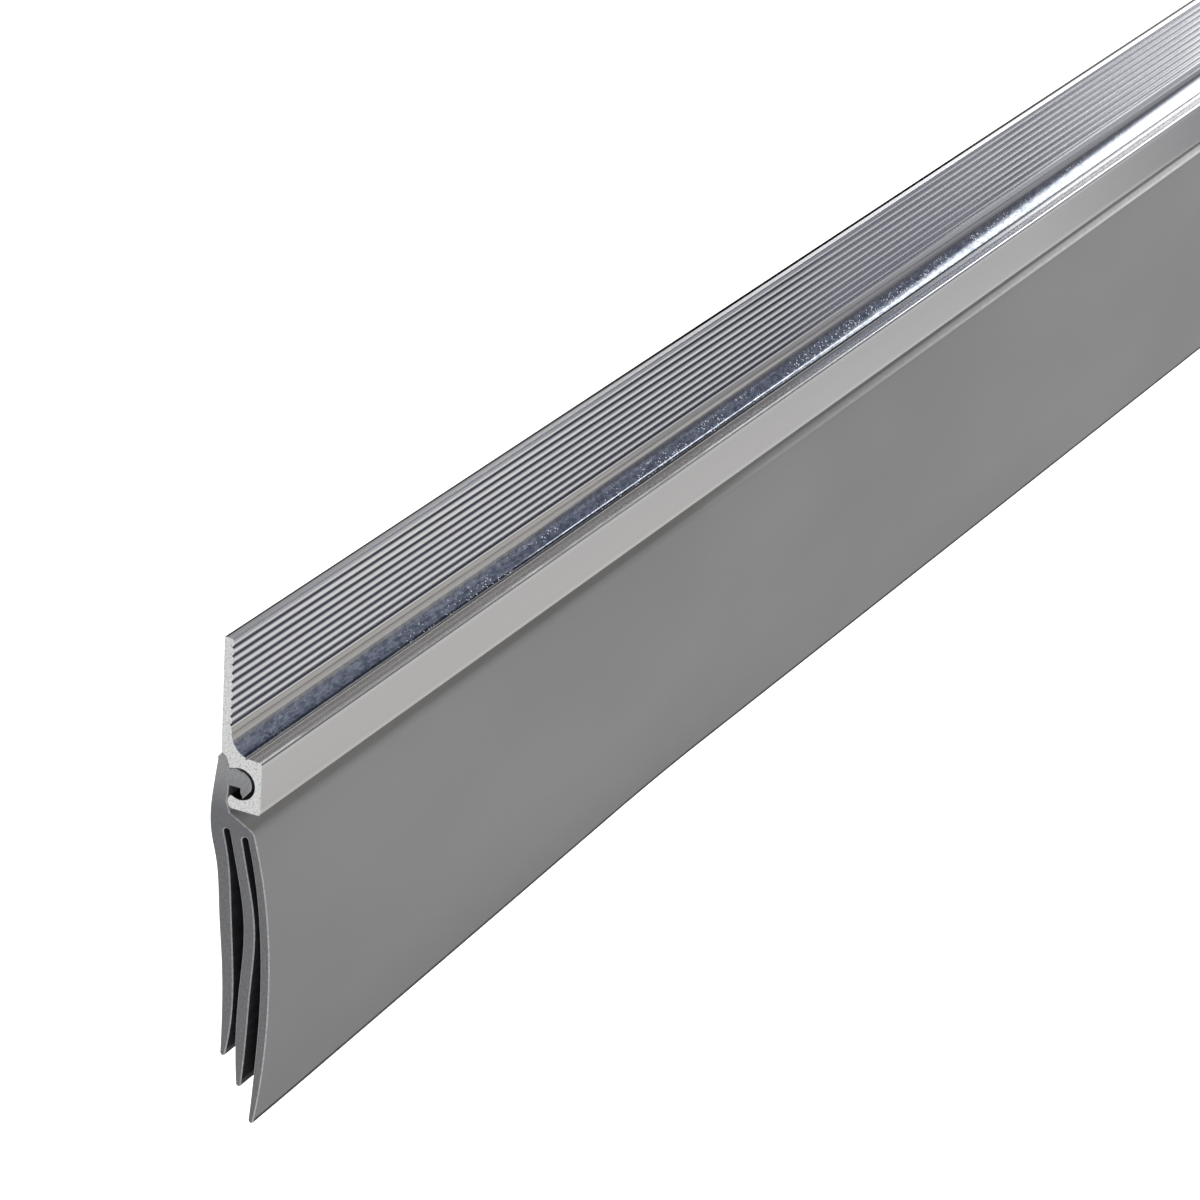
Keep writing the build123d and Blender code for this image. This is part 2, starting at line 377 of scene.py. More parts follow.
def extrusion(name, outline, stations, warp, edge, materials, shaded):
    """A strip with the outline as its section, cut square at both ends with fine broken edges.

    The materials are for its walls, its cut ends, the broken edges round them and its shaded walls,
    which lie between two points of the shaded ones.
    """
    count = len(outline)
    rings = [(stations[0], inset(outline, edge)), (stations[0] + edge, np.array(outline))]
    rings += [(x, np.array(outline)) for x in stations[1:-1]]
    rings += [(stations[-1] - edge, np.array(outline)), (stations[-1], inset(outline, edge))]
    vertices = []
    for x, ring in rings:
        vertices += [tuple(c * MM for c in warp(x, y, z)) for y, z in ring]
    faces = []
    for ring in range(len(rings) - 1):
        here, ahead = ring * count, (ring + 1) * count
        for i in range(count):
            j = (i + 1) % count
            faces.append((here + i, here + j, ahead + j, ahead + i))
    faces.append(tuple(range(count))[::-1])
    faces.append(tuple((len(rings) - 1) * count + i for i in range(count)))
    mesh = bpy.data.meshes.new(name)
    mesh.from_pydata(vertices, [], faces)
    for material in materials:
        mesh.materials.append(material)
    mesh.polygons.foreach_set("use_smooth", [True] * len(faces))
    wall, end, rim, dark = range(4)
    hidden = [point in shaded and outline[(i + 1) % count] in shaded for i, point in enumerate(outline)]
    side = [dark if inside else wall for inside in hidden]
    indices = [rim] * count + side * (len(rings) - 3) + [rim] * count + [end, end]
    mesh.polygons.foreach_set("material_index", indices)
    mesh.update()
    mark_sharp(mesh)
    piece = bpy.data.objects.new(name, mesh)
    bpy.context.scene.collection.objects.link(piece)
    return piece


def mark_sharp(mesh):
    """Edges where the surface turns more than a little stay crisp."""
    normals = {}
    for polygon in mesh.polygons:
        for key in polygon.edge_keys:
            normals.setdefault(key, []).append(polygon.normal.copy())
    limit = math.cos(math.radians(SHARP_TURN))
    for edge in mesh.edges:
        sides = normals[edge.key]
        edge.use_edge_sharp = len(sides) == 2 and sides[0].dot(sides[1]) < limit


class Tree:
    """The node tree of a material or a world, with short ways to add nodes.

    A value is a number or another node's output. A colour is three numbers or an output.
    """

    def __init__(self, owner):
        """The owner is the material or the world."""
        owner.use_nodes = True
        self.nodes = owner.node_tree.nodes
        self.links = owner.node_tree.links
        self.coordinates = {}

    def add(self, kind, **settings):
        """A new node with some settings of its own."""
        node = self.nodes.new(kind)
        for name, value in settings.items():
            setattr(node, name, value)
        return node

    def fill(self, socket, value):
        """The value or colour goes into the socket."""
        if isinstance(value, bpy.types.NodeSocket):
            self.links.new(value, socket)
        elif socket.type == "RGBA":
            socket.default_value = (*value, 1)
        else:
            socket.default_value = value

    def fill_all(self, node, **values):
        """The values go into the node's sockets of the same names, with _ for a space."""
        for name, value in values.items():
            self.fill(node.inputs[name.replace("_", " ")], value)

    def place(self):
        """Where the surface lies in its object, in metres."""
        return self.add("ShaderNodeTexCoord").outputs["Object"]

    def coordinate(self, axis):
        """X, Y or Z of the surface, in millimetres."""
        if axis not in self.coordinates:
            parts = self.add("ShaderNodeSeparateXYZ")
            self.fill(parts.inputs[0], self.place())
            self.coordinates[axis] = self.times(parts.outputs[axis], 1 / MM)
        return self.coordinates[axis]

    def reach(self):
        """How far the surface is from its object's middle, in metres."""
        length = self.add("ShaderNodeVectorMath", operation="LENGTH")
        self.fill(length.inputs[0], self.place())
        return length.outputs["Value"]

    def noise(self, per_mm, detail=2.0, rough=0.5):
        """Noise with so many features per millimetre along X, Y and Z."""
        mapping = self.add("ShaderNodeMapping")
        self.fill_all(mapping, Vector=self.place(), Scale=[count / MM for count in per_mm])
        texture = self.add("ShaderNodeTexNoise")
        self.fill_all(texture, Vector=mapping.outputs[0], Scale=1, Detail=detail, Roughness=rough)
        return texture.outputs["Fac"]

    def dots(self, per_mm, radius):
        """Scattered round dots, so many per millimetre, with a radius in their own spacing."""
        texture = self.add("ShaderNodeTexVoronoi")
        self.fill_all(texture, Vector=self.place(), Scale=per_mm / MM)
        return self.spread(texture.outputs["Distance"], 1, 0, radius / 2, radius)

    def calculate(self, operation, first, second):
        """The result of a math node on two values."""
        node = self.add("ShaderNodeMath", operation=operation)
        self.fill(node.inputs[0], first)
        self.fill(node.inputs[1], second)
        return node.outputs[0]

    def times(self, first, second):
        """The product of two values."""
        return self.calculate("MULTIPLY", first, second)

    def plus(self, first, second):
        """Two values together."""
        return self.calculate("ADD", first, second)

    def rest(self, value):
        """What the value lacks of 1."""
        return self.calculate("SUBTRACT", 1, value)

    def spread(self, value, low, high, from_low=0.3, from_high=0.7, soft=False):
        """The value moved from one range to another, and kept inside it."""
        node = self.add("ShaderNodeMapRange", interpolation_type="SMOOTHSTEP" if soft else "LINEAR")
        self.fill_all(node, Value=value, From_Min=from_low, From_Max=from_high, To_Min=low, To_Max=high)
        return node.outputs["Result"]

    def within(self, value, low, high, soft):
        """1 where the value lies between two limits, with soft edges outside them."""
        above = self.spread(value, 0, 1, low - soft, low)
        below = self.spread(value, 1, 0, high, high + soft)
        return self.times(above, below)

    def stretch(self, begins, full, soft=False):
        """0 before one distance from the strip's near end and 1 after another."""
        return self.spread(self.coordinate("X"), 0, 1, NEAR_END + begins, NEAR_END + full, soft)

    def mixed(self, first, second, factor):
        """A colour between two, by a factor."""
        node = self.add("ShaderNodeMix", data_type="RGBA")
        self.fill_all(node, A=first, B=second, Factor=factor)
        return node.outputs["Result"]

    def bump(self, height, distance, before=None):
        """A bump whose height of 1 stands so many millimetres, after another bump if one is given."""
        node = self.add("ShaderNodeBump")
        self.fill_all(node, Distance=distance * MM, Height=height)
        if before is not None:
            self.fill_all(node, Normal=before)
        return node.outputs["Normal"]

    def shared(self, first, second, factor):
        """A shader between two, by a factor."""
        node = self.add("ShaderNodeMixShader")
        for socket, value in zip(node.inputs, (factor, first, second)):
            self.fill(socket, value)
        return node.outputs[0]

    def seen_white(self, lit, white):
        """The white shader for camera, glossy and transmission rays, and the lit one for the rest."""
        path = self.add("ShaderNodeLightPath").outputs
        seen = self.calculate("MAXIMUM", path["Is Camera Ray"], path["Is Glossy Ray"])
        seen = self.calculate("MAXIMUM", seen, path["Is Transmission Ray"])
        return self.shared(lit, white, seen)


def new_material(name, color, metallic, roughness):
    """A material with its node tree and its shader, which has the constant values."""
    material = bpy.data.materials.new(name)
    tree = Tree(material)
    shader = tree.nodes["Principled BSDF"]
    tree.fill_all(shader, Base_Color=color, Metallic=metallic, Roughness=roughness)
    return material, tree, shader


# Stretches of the strip where a finish or painted shade or light changes, as distances from the near end:
# where it begins and where it is full. Painted shade in the grooves and crease is deep before the stretch
# where it lifts, lighter after.
PAINTED_SHEEN_GROWS = (100.0, 260.0)
STARTED = (20.0, 90.0)
SPECKLED = (20.0, 70.0)
BRIGHT = (105.0, 165.0)
PAINTED_SHADE_LIFTS = (125.0, 245.0)
FAR = (205.0, 270.0)
FARTHER = (265.0, 315.0)
LINE_WIDENS = (40.0, 110.0)
LINE_FADES = (180.0, 250.0)

# The stretch where a painted reflection turns the ledge darker and cool and the ribs plain: its ends and the
# length of its soft edges
HALFWAY = (150.0, 190.0, 25.0)

# Bands of the carrier's section with a finish of their own: two limits in Z or in Y, and in most of them
# how soft the edges are
FACE_Z = (FLAT_FOOT, TOP - 0.2, 0.1)
GROOVE_Y = (-FLANGE_WALL + RIB_CROWN + 0.05, -FLANGE_WALL + GROOVE_DEPTH, 0.06)
TOP_Z = (TOP - 0.06, TOP - 0.02)
RIBS_FOOT = TOP - PLAIN_TOP - RIB_PITCH * (GROOVE_COUNT - 1) - GROOVE_WIDTH
BEND_Z = (LEDGE - CREASE_DEPTH, RIBS_FOOT, 0.1)
BEND_Y = (-COVE_FORWARD, -FLANGE_WALL / 2, 0.05)
BEND_FOOT_Z = (LEDGE, LEDGE + 1.1, 0.3)
BLUE_Z = (LEDGE + 0.9, LEDGE + 2.1)
HIGH_BEND_Z = (LEDGE + 2.0, LEDGE + 2.8)
LIP_FOOT = -COVE_FORWARD - CREASE_WIDTH
CREASE_Y = (LIP_FOOT + 0.08, -COVE_FORWARD - 0.05, 0.04)
CREASE_Z = (LEDGE - CREASE_DEPTH, LEDGE + 0.1, 0.05)
LIP_Y = (LIP_FOOT - 0.16, LIP_FOOT + 0.03, 0.08)
LEDGE_Y = (-COVE_FORWARD - 0.1, -COVE_FORWARD)
LEDGE_BACK_Y = (-BOX_FORWARD + 0.8, LIP_FOOT)
RIDGE_Y = (-BOX_FORWARD + 0.06, -BOX_FORWARD + 0.28, 0.05)
RIDGE_Z = (LEDGE - 0.06, LEDGE + LEDGE_FALL, 0.03)
UNDER_RIDGE_Z = (LEDGE - 0.24, LEDGE - 0.12, 0.05)
FRONT_Y = (-BOX_FORWARD + 0.02, -BOX_FORWARD + 0.06)
MATT_Z = (BOX_FOOT + 0.3, LEDGE - 0.25, 0.15)
HIGH_BORDER_Z = (LEDGE - 0.65, LEDGE - 0.35, 0.15)
LOW_BORDER_Z = (BOX_FOOT + 0.3, BOX_FOOT + 0.6, 0.15)

# The band of painted highlight along the seal's shoulder, which stays off the seal's back
SHOULDER_TOP = BOX_FOOT - SHOULDER[1]
SHEEN_Z = (SHOULDER_TOP - 0.38, SHOULDER_TOP + 0.05, 0.12)
SHEEN_Y = (-2.0, -1.0)

# Where the seal's cut end turns from its body's grey to that of its fins below, and to the paler grey of its
# head above, which is painted light
CUT_FINS_Z = (FIN_ROOT, FIN_ROOT - 4)
CUT_HEAD_Z = (BOX_FOOT - 0.5, SOCKET[1] + 1)


def mill_places(tree):
    """Masks of the carrier's places with a finish of their own or with painted shade, highlight or
    reflection, each 1 inside and 0 outside.
    """
    forward, height = tree.coordinate("Y"), tree.coordinate("Z")
    near = tree.rest(tree.stretch(*FAR))
    bend_front = tree.within(forward, *BEND_Y)
    hollow = tree.times(bend_front, tree.within(height, *BEND_Z))
    front = tree.spread(forward, 1, 0, *FRONT_Y)
    matt = tree.times(front, tree.within(height, *MATT_Z))
    borders = tree.plus(tree.within(height, *HIGH_BORDER_Z), tree.within(height, *LOW_BORDER_Z))
    ledge = tree.spread(forward, 1, 0, *LEDGE_Y)
    # The lip is a painted highlight along the ledge's back edge, fainter at the near end.
    lip = tree.times(tree.times(ledge, tree.within(forward, *LIP_Y)), near)
    # The crease gets painted shade, which fades down the strip.
    crease = tree.times(tree.within(forward, *CREASE_Y), tree.within(height, *CREASE_Z))
    ridge = tree.times(tree.within(height, *RIDGE_Z), tree.within(forward, *RIDGE_Y))
    clusters = tree.spread(tree.noise((0.1, 0.3, 0.3), 2), 0, 1, 0.46, 0.54)
    # Painted glints: small pale dots in clusters at the cove's foot, fewer at the near end.
    glints = tree.times(tree.dots(2.4, 0.3), clusters)
    glints = tree.times(glints, tree.plus(0.3, tree.times(tree.stretch(*SPECKLED), 0.7)))
    return SimpleNamespace(
        groove=tree.times(tree.within(height, *FACE_Z), tree.within(forward, *GROOVE_Y)),
        top=tree.spread(height, 0, 1, *TOP_Z),
        bend_front=bend_front,
        hollow=hollow,
        painted_glint=tree.times(glints, tree.times(hollow, tree.within(height, *BEND_FOOT_Z))),
        crease=tree.times(crease, tree.rest(tree.stretch(*PAINTED_SHADE_LIFTS, soft=True))),
        lip=tree.times(lip, tree.spread(tree.stretch(*STARTED), 0.45, 0.85, 0, 0.6)),
        ledge=ledge,
        ledge_back=tree.times(ledge, tree.spread(forward, 0, 1, *LEDGE_BACK_Y)),
        ridge=ridge,
        dull_ridge=tree.times(ridge, tree.rest(tree.stretch(*BRIGHT))),
        under_ridge=tree.times(front, tree.within(height, *UNDER_RIDGE_Z)),
        matt=matt,
        border=tree.times(tree.times(matt, borders), near),
    )


def groove_color(tree, plain):
    """The grooves' colour: painted shade, deepest at the near end, and paler in steps down the strip as
    painted reflection.
    """
    color = tree.mixed((0.16, 0.16, 0.168), (0.28, 0.28, 0.3), tree.stretch(*PAINTED_SHADE_LIFTS, soft=True))
    color = tree.mixed(color, (0.62, 0.62, 0.64), plain)
    return tree.mixed(color, (0.8, 0.8, 0.82), tree.stretch(*FARTHER))


def bend_color(tree):
    """The cove's colour: warm and plain above, blue and clouded below, both lighter farther down the strip as
    painted reflection.
    """
    height = tree.coordinate("Z")
    clouds = tree.spread(tree.noise((0.8, 1.9, 1.9), 4, 0.8), 0, 1, 0.38, 0.62)
    blue = tree.mixed((0.22, 0.25, 0.31), (0.6, 0.64, 0.7), clouds)
    blue = tree.mixed(blue, (0.6, 0.63, 0.68), tree.stretch(*FAR))
    painted_lighter = tree.times(tree.stretch(*PAINTED_SHADE_LIFTS, soft=True), tree.spread(height, 0, 1, *HIGH_BEND_Z))
    warm = tree.mixed((0.49, 0.475, 0.46), (0.75, 0.75, 0.76), painted_lighter)
    return tree.mixed(warm, blue, tree.spread(height, 1, 0, *BLUE_Z, soft=True))


def matt_color(tree, border):
    """The box front's colour, with a paler border along both its edges."""
    color = tree.mixed((0.66, 0.65, 0.645), (0.33, 0.33, 0.335), tree.stretch(*FAR))
    return tree.mixed(color, (0.73, 0.725, 0.72), border)


def ridge_color(tree, bright):
    """The ledge's front edge: a painted highlight, patchy at the near end and full farther on."""
    patches = tree.spread(tree.noise((0.07, 0.5, 0.5), 3), 0, 1, 0.42, 0.6)
    patchy = tree.mixed((0.3, 0.3, 0.31), (0.6, 0.6, 0.61), patches)
    return tree.mixed(patchy, (0.97, 0.97, 0.97), bright)


def mill_color(tree, at, streaks):
    """Colour of the mill finish: streaked crowns, and each place laid over them, several as painted shade,
    highlight or reflection.
    """
    started, bright = tree.stretch(*STARTED), tree.stretch(*BRIGHT)
    begins, ends, soft = HALFWAY
    halfway = tree.within(tree.coordinate("X"), NEAR_END + begins, NEAR_END + ends, soft)
    plain = tree.spread(halfway, 0, 1, 0.35, 1)
    color = tree.mixed((0.84, 0.84, 0.85), (0.92, 0.92, 0.93), streaks)
    layers = (
        # painted reflection: the face and cove plainer over the halfway stretch
        ((0.75, 0.75, 0.76), tree.times(at.bend_front, plain)),
        (tree.mixed((0.82, 0.78, 0.72), (0.78, 0.78, 0.79), bright), at.ledge),
        # painted reflection: the ledge darker and cooler over the halfway stretch
        ((0.6, 0.62, 0.67), tree.times(at.ledge, halfway)),
        ((0.36, 0.38, 0.42), tree.times(at.ledge_back, halfway)),
        (bend_color(tree), at.hollow),
        (matt_color(tree, at.border), at.matt),
        # painted shade in the grooves, which painted reflection makes pale farther down the strip
        (groove_color(tree, plain), at.groove),
        ((0.61, 0.61, 0.62), at.top),
        # painted highlight along the ledge's back edge
        ((0.34, 0.33, 0.31), at.lip),
        # painted shade in the crease, deepest past the near end and fading down the strip
        (tree.mixed((0.5, 0.5, 0.51), (0.1, 0.1, 0.12), started), at.crease),
        # painted shade as a dark line under the ledge's front edge, darkest at the near end
        (tree.mixed((0.16, 0.16, 0.16), (0.38, 0.38, 0.38), started), at.under_ridge),
        # painted highlight on the ledge's front edge
        (ridge_color(tree, bright), at.ridge),
        # painted glints in the cove
        ((0.75, 0.78, 0.84), at.painted_glint),
    )
    for layer, mask in layers:
        color = tree.mixed(color, layer, mask)
    return color


def make_mill():
    """Extruded aluminium: streaked crowns, painted shade in the grooves and crease, painted glints in the
    cove and a matt box front.
    """
    material, tree, shader = new_material("aluminium_mill", (0.8, 0.8, 0.8), 1, 0.12)
    at = mill_places(tree)
    lines = tree.noise((0.01, 5.0, 5.0), 3)
    bands = tree.noise((0.006, 0.9, 0.9), 2)
    mottle = tree.noise((0.5, 1.6, 1.6), 4, 0.65)
    streaks = tree.spread(tree.plus(lines, bands), 0, 1, 0.8, 1.2)
    far_ledge = tree.times(at.ledge, tree.stretch(*FAR))
    dull_ledge = tree.plus(tree.times(at.ledge_back, 0.12), tree.times(far_ledge, 0.3))
    metallic = 1
    for dull in (dull_ledge, at.dull_ridge, at.painted_glint, at.lip):
        metallic = tree.times(metallic, tree.rest(dull))
    rough = tree.spread(bands, 0.08, 0.12)
    rougher = ((at.matt, 0.3), (at.top, 0.2), (at.hollow, -0.04), (at.painted_glint, 0.4), (at.dull_ridge, 0.3))
    for place, more in rougher:
        rough = tree.plus(rough, tree.times(place, more))
    normal = tree.bump(tree.times(lines, tree.rest(at.matt)), 0.004)
    normal = tree.bump(tree.times(mottle, tree.rest(tree.times(at.hollow, 0.6))), 0.004, normal)
    color = mill_color(tree, at, streaks)
    tree.fill_all(shader, Base_Color=color, Metallic=metallic, Roughness=rough, Normal=normal)
    return material


def make_line():
    """The line of painted shade along the top of the flat back, which grows wider and then paler down the
    strip.
    """
    dark = (0.01, 0.01, 0.012)
    material, tree, shader = new_material("aluminium_line", dark, 0, 0.9)
    front_half = tree.spread(tree.coordinate("Y"), 1, 0, -BACK_LINE / 2 - 0.05, -BACK_LINE / 2)
    pale = tree.times(front_half, tree.rest(tree.stretch(*LINE_WIDENS)))
    color = tree.mixed(dark, (0.32, 0.32, 0.33), pale)
    color = tree.mixed(color, (0.2, 0.2, 0.21), tree.stretch(*LINE_FADES))
    tree.fill_all(shader, Base_Color=color, Specular_IOR_Level=0)
    return material


def make_sawn():
    """Sawn aluminium, nearly white, with fine chatter from the blade."""
    material, tree, shader = new_material("aluminium_sawn", (0.78, 0.78, 0.78), 0.25, 0.6)
    grain = tree.noise((1, 4.0, 4.0), 4, 0.7)
    color = tree.mixed((0.44, 0.44, 0.45), (0.8, 0.8, 0.8), tree.spread(grain, 0, 1, 0.34, 0.52))
    tree.fill_all(shader, Base_Color=color, Normal=tree.bump(grain, 0.05))
    return material


def make_skin():
    """Smooth matt grey rubber, faintly uneven, with a painted highlight in patches along the shoulder farther
    down the strip.
    """
    material, tree, shader = new_material("rubber_skin", (0.22, 0.22, 0.22), 0, 0.45)
    cloud = tree.spread(tree.noise((0.02, 0.05, 0.05), 2), 0, 1)
    grain = tree.noise((1.5, 6.0, 6.0), 2)
    sheen_patches = tree.spread(tree.noise((0.8, 2.0, 2.0), 3, 0.6), 0.75, 1)
    roll = tree.within(tree.coordinate("Z"), *SHEEN_Z)
    roll = tree.times(roll, tree.spread(tree.coordinate("Y"), 1, 0, *SHEEN_Y))
    # painted highlight along the shoulder, in patches, growing farther down the strip
    painted_sheen = tree.times(tree.times(roll, tree.stretch(*PAINTED_SHEEN_GROWS)), sheen_patches)
    color = tree.mixed((0.215, 0.215, 0.216), (0.242, 0.242, 0.243), cloud)
    color = tree.mixed(color, (0.9, 0.9, 0.9), painted_sheen)
    tree.fill_all(shader, Base_Color=color, Normal=tree.bump(grain, 0.006))
    return material


def make_cut():
    """Rubber where the knife went through, cooler than its skin and paler round the tongue, where light from
    above is painted in.
    """
    material, tree, shader = new_material("rubber_cut", (0.165, 0.168, 0.176), 0, 0.6)
    grain = tree.noise((1, 3.0, 3.0), 4, 0.65)
    grainy = tree.spread(grain, 0, 1)
    height = tree.coordinate("Z")
    body = tree.mixed((0.12, 0.122, 0.132), (0.165, 0.168, 0.18), grainy)
    fins = tree.mixed((0.115, 0.117, 0.125), (0.185, 0.188, 0.197), grainy)
    head = tree.mixed((0.26, 0.264, 0.275), (0.36, 0.364, 0.375), grainy)
    color = tree.mixed(body, fins, tree.spread(height, 0, 1, *CUT_FINS_Z))
    color = tree.mixed(color, head, tree.spread(height, 0, 1, *CUT_HEAD_Z))
    tree.fill_all(shader, Base_Color=color, Normal=tree.bump(grain, 0.03))
    return material


def make_shade():
    """Rubber in the slits, in the socket and on the lip that sweeps the floor, painted dark as shade."""
    material, tree, shader = new_material("rubber_shade", (0.04, 0.04, 0.042), 0, 0.7)
    grainy = tree.spread(tree.noise((0.3, 1.0, 1.0), 3), 0, 1)
    tree.fill_all(shader, Base_Color=tree.mixed((0.025, 0.025, 0.028), (0.055, 0.055, 0.058), grainy))
    return material


def make_rim():
    """The edge that the knife left, painted pale as a highlight along the cut."""
    material, tree, shader = new_material("rubber_rim", (0.34, 0.34, 0.35), 0, 0.5)
    grainy = tree.spread(tree.noise((2, 3.0, 3.0), 2), 0, 1)
    tree.fill_all(shader, Base_Color=tree.mixed((0.34, 0.34, 0.35), (0.55, 0.55, 0.56), grainy))
    return material


# How long the fins are along the strip, as distances from the near end and shares of their plain length:
# they were pulled at the cut end and the lower edge wanders
HANG = ((0, 1.070), (45, 1.027), (97, 0.975), (170, 0.989), (240, 1.001), (290, 1.010), (380, 1.0))
HANG_SOFTNESS = 8.0

# How many sections each strip has along its length, the seal first where its fins wander and then beyond
CARRIER_STATIONS = 21
HANG_STATIONS = 90
PLAIN_STATIONS = 10

# The fine broken edges that the saw and the knife left at the ends
SAWN_EDGE = 0.03
CUT_EDGE = 0.12


def straight(x, y, z):
    """The carrier's points, just where its section has them."""
    return x, y, z


def pulled(x, y, z):
    """The seal's points, with its fins longer or shorter along the strip."""
    if z > FIN_ROOT:
        return x, y, z
    places, shares = zip(*HANG)
    near = [np.interp(x - NEAR_END + shift, places, shares) for shift in (-HANG_SOFTNESS, 0, HANG_SOFTNESS)]
    return x, y, FIN_ROOT + (z - FIN_ROOT) * float(np.mean(near))


def make_carrier():
    """The aluminium carrier."""
    sawn = make_sawn()
    metals = (make_mill(), sawn, sawn, make_line())
    stations = np.linspace(NEAR_END, FAR_END, CARRIER_STATIONS)
    return extrusion("carrier", carrier_outline(), stations, straight, SAWN_EDGE, metals, set(back_edge()))


def make_seal():
    """The rubber seal."""
    rubbers = (make_skin(), make_cut(), make_rim(), make_shade())
    hang_end = NEAR_END + HANG[-1][0] + HANG_SOFTNESS
    hanging = np.linspace(NEAR_END, hang_end, HANG_STATIONS)
    stations = np.concatenate([hanging, np.linspace(hang_end, FAR_END, PLAIN_STATIONS)[1:]])
    return extrusion("seal", seal_outline(), stations, pulled, CUT_EDGE, rubbers, shaded_points())


def make_camera():
    """The camera, at the photograph's viewpoint. Its sensor is as wide as the square frame."""
    data = bpy.data.cameras.new("camera")
    data.lens = 162.486
    data.sensor_width = 36.0
    data.clip_end = 50.0
    camera = bpy.data.objects.new("camera", data)
    camera.location = (-0.94601, -0.2638, 0.24321)
    camera.rotation_euler = [math.radians(angle) for angle in (65.9906, -3.1467, -62.322)]
    bpy.context.scene.collection.objects.link(camera)
    bpy.context.scene.camera = camera
    bpy.context.scene.view_settings.view_transform = "Standard"


def make_world():
    """A dim world that looks white."""
    world = bpy.data.worlds.new("world")
    bpy.context.scene.world = world
    tree = Tree(world)
    light = tree.nodes["Background"]
    tree.fill_all(light, Color=(1, 1, 1), Strength=0.1)
    white = tree.add("ShaderNodeBackground")
    tree.fill_all(white, Color=(1, 1, 1), Strength=1)
    surface = tree.seen_white(light.outputs[0], white.outputs[0])
    tree.fill_all(tree.nodes["World Output"], Surface=surface)


def make_plane(name, center, size, rotation, material):
    """A flat rectangle on the stage, turned by degrees about X, Y and Z."""
    mesh = bpy.data.meshes.new(name)
    w, h = size[0] / 2, size[1] / 2
    mesh.from_pydata([(-w, -h, 0), (w, -h, 0), (w, h, 0), (-w, h, 0)], [], [(0, 1, 2, 3)])
    mesh.materials.append(material)
    plane = bpy.data.objects.new(name, mesh)
    plane.location = center
    plane.rotation_euler = [math.radians(angle) for angle in rotation]
    bpy.context.scene.collection.objects.link(plane)
    return plane


def glow(name, color):
    """A material that shows a colour by itself, with its node tree and its emission node."""
    material = bpy.data.materials.new(name)
    tree = Tree(material)
    tree.nodes.remove(tree.nodes["Principled BSDF"])
    emission = tree.add("ShaderNodeEmission")
    tree.fill_all(emission, Color=color, Strength=1)
    tree.fill_all(tree.nodes["Material Output"], Surface=emission.outputs[0])
    material.cycles.emission_sampling = "NONE"
    return material, tree, emission


def card(name, center, size, rotation, material):
    """A studio card that only metal and gloss reflect."""
    plane = make_plane(name, center, size, rotation, material)
    plane.visible_camera = False
    plane.visible_diffuse = False
    plane.visible_shadow = False
    plane.visible_transmission = False


# How a card is turned: upright across the strip, upright along it, or lying
ACROSS = (0, 90, 0)
ALONG = (90, 0, 0)
LYING = (0, 0, 0)

# The round light: between which radii in metres it ends, and over how many millimetres below its middle,
# along its own X, it fades to half
SOFTBOX_RIM = (0.55, 0.64)
SOFTBOX_FADE = 300


def make_softbox():
    """A large round light down the strip, brighter in its upper half and soft at its rim."""
    material, tree, emission = glow("softbox", (1, 1, 1))
    disc = tree.spread(tree.reach(), 1, 0, *SOFTBOX_RIM, soft=True)
    strength = tree.spread(tree.coordinate("X"), 2.2, 1.1, 0, SOFTBOX_FADE, soft=True)
    tree.fill_all(emission, Strength=strength)
    clear = tree.add("ShaderNodeBsdfTransparent")
    surface = tree.shared(clear.outputs[0], emission.outputs[0], disc)
    tree.fill_all(tree.nodes["Material Output"], Surface=surface)
    card("softbox", (0.9, 0.07, 0.17), (1.4, 1.4), ACROSS, material)


# The floor, in metres: its height, its size and between which distances it grows white
FLOOR_LEVEL = -0.65
FLOOR_SIZE = (8, 8)
FLOOR_WHITENS = (1, 2.5)


def make_floor():
    """A white floor that keeps the object's shadow, whiter far off, and can be looked through from below."""
    material, tree, paint = new_material("floor", (0.9, 0.9, 0.9), 0, 1)
    tree.fill_all(paint, Specular_IOR_Level=0)
    lift = tree.add("ShaderNodeEmission")
    tree.fill_all(lift, Strength=tree.spread(tree.reach(), 0.75, 1, *FLOOR_WHITENS))
    white = tree.add("ShaderNodeAddShader")
    tree.fill(white.inputs[0], paint.outputs[0])
    tree.fill(white.inputs[1], lift.outputs[0])
    upper = tree.seen_white(paint.outputs[0], white.outputs[0])
    clear = tree.add("ShaderNodeBsdfTransparent")
    below = tree.add("ShaderNodeNewGeometry").outputs["Backfacing"]
    surface = tree.shared(upper, clear.outputs[0], below)
    tree.fill_all(tree.nodes["Material Output"], Surface=surface)
    make_plane("floor", (0, 0, FLOOR_LEVEL), FLOOR_SIZE, LYING, material)


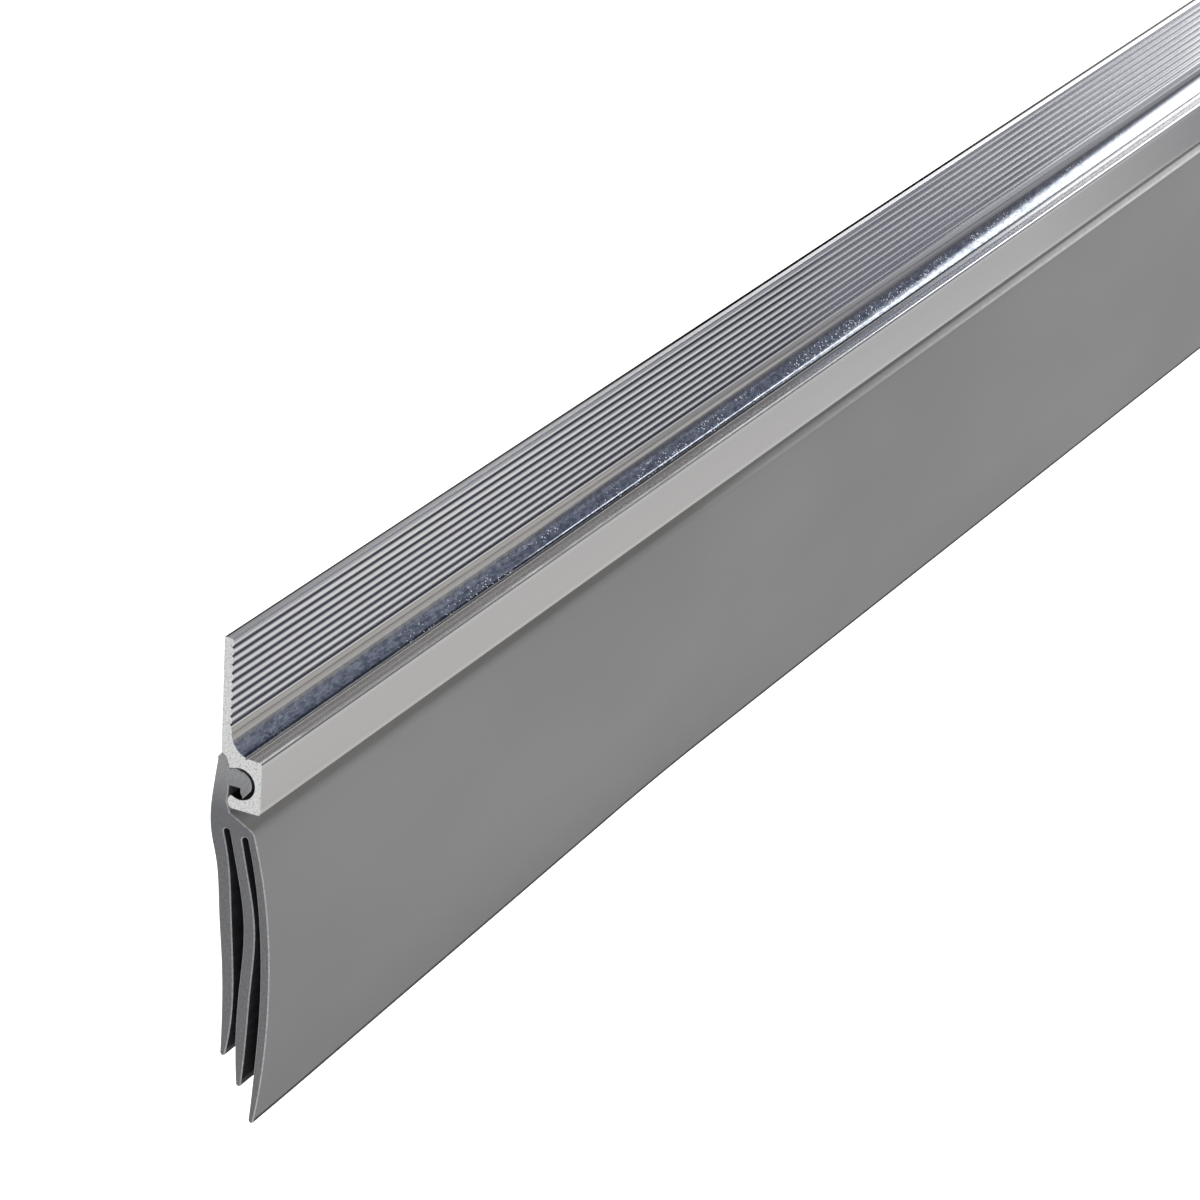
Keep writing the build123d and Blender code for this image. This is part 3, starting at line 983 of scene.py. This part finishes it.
# Studio cards: name, centre, size, turn and colour. First those down the strip, then the walls beside it
# and at last those under it.
CARDS = (
    ("strip_light", (0.89, -0.09, 0.77), (0.3, 0.075), ACROSS, (3.4, 3.4, 3.4)),
    ("dark_sky_card", (0.93, 0.02, 1.45), (1.6, 0.26), ACROSS, (0.05, 0.055, 0.07)),
    ("sky_card", (1.0, -1.3, 1.45), (2.4, 2.8), ACROSS, (0.2, 0.212, 0.26)),
    ("high_sky_card", (0.96, -1.25, 1.75), (1.8, 1.6), ACROSS, (0.27, 0.28, 0.33)),
    ("near_sky_card", (0.955, -1.0, 0.65), (0.7, 0.5), ACROSS, (0.3, 0.31, 0.36)),
    ("haze_card", (0.98, -1.55, 0.0), (0.5, 1.3), ACROSS, (0.39, 0.39, 0.4)),
    ("gap_card", (0.96, -0.6, 0.1), (0.3, 0.75), ACROSS, (0.19, 0.19, 0.22)),
    ("gap_foot", (0.925, -0.8, -0.12), (0.16, 0.25), ACROSS, (0.3, 0.3, 0.33)),
    ("left_card", (0.95, -1.45, -0.22), (0.34, 1.5), ACROSS, (0.73, 0.725, 0.72)),
    ("left_inner_card", (0.94, -0.5, -0.22), (0.34, 0.48), ACROSS, (0.41, 0.43, 0.47)),
    ("side_card", (1.0, 1.4, 1.3), (2.4, 2.6), ACROSS, (0.28, 0.28, 0.29)),
    ("side_glow", (0.97, 0.5, 0.55), (0.5, 0.5), ACROSS, (0.6, 0.6, 0.6)),
    ("back_card", (0.88, 1.4, -0.35), (0.9, 2.2), ACROSS, (0.3, 0.3, 0.31)),
    ("front_wall", (-0.2, -2.9, 0.3), (5.0, 2.6), ALONG, (0.45, 0.45, 0.46)),
    ("rear_wall", (0, 2.9, 0.3), (5.0, 2.6), ALONG, (0.45, 0.45, 0.46)),
    ("bench_front", (0.27, -1.4, -0.38), (1.34, 1.6), LYING, (0.62, 0.615, 0.61)),
    ("bench_middle", (0.1, -0.4, -0.38), (1.0, 0.4), LYING, (0.72, 0.715, 0.71)),
    ("bench_edge", (0.25, -0.16, -0.37), (0.4, 0.08), LYING, (0.72, 0.715, 0.71)),
    ("bench_far", (0.77, -0.4, -0.38), (0.34, 0.4), LYING, (0.43, 0.44, 0.47)),
    ("bench_ledge", (0.87, -0.46, -0.375), (0.16, 0.12), LYING, (0.85, 0.87, 0.92)),
    ("bench_end", (0.9, -0.27, -0.375), (0.14, 0.18), LYING, (0.95, 0.95, 0.95)),
    ("bench_turn", (0.37, 0.05, -0.375), (0.18, 0.5), LYING, (0.32, 0.33, 0.36)),
    ("bench_inner", (0.7, 0.05, -0.375), (0.48, 0.5), LYING, (0.58, 0.6, 0.64)),
    ("bench_dark", (0.2, 0.3, -0.38), (1.4, 1.0), LYING, (0.08, 0.08, 0.09)),
)

# Lamps: name, centre, target, side of the square, power and whether gloss reflects it
LAMPS = (
    ("front_lamp", (0.5, -2.0, 0.7), (-0.1, 0, 0), 1.2, 27.5, False),
    ("back_lamp", (-0.2, 2.0, 0.7), (0, 0, 0), 1.2, 24, True),
    ("top_lamp", (0, -0.3, 2.2), (0, 0, 0), 1.2, 24, True),
    ("near_lamp", (-2.6, -0.15, 0.1), (-0.5, 0, -0.02), 0.4, 17, False),
    ("far_lamp", (2.6, 0.15, 0.1), (0.5, 0, -0.02), 0.4, 17, False),
)


def make_lamp(name, center, target, side, power, glossy):
    """A square lamp that shines from its centre towards its target."""
    data = bpy.data.lights.new(name, "AREA")
    data.shape = "SQUARE"
    data.size = side
    data.energy = power
    lamp = bpy.data.objects.new(name, data)
    lamp.location = center
    direction = np.array(target, float) - np.array(center, float)
    lamp.rotation_euler = mathutils.Vector(direction).to_track_quat("-Z", "Y").to_euler()
    lamp.visible_glossy = glossy
    bpy.context.scene.collection.objects.link(lamp)


for piece, node, slot in (
    (make_carrier(), "carrier_profile", "aluminium"),
    (make_seal(), "fin_seal", "seal_rubber"),
):
    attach(piece, "root")
    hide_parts(node)

make_camera()
make_world()
make_floor()
make_softbox()
for name, center, size, rotation, color in CARDS:
    card(name, center, size, rotation, glow(name, color)[0])
for lamp in LAMPS:
    make_lamp(*lamp)
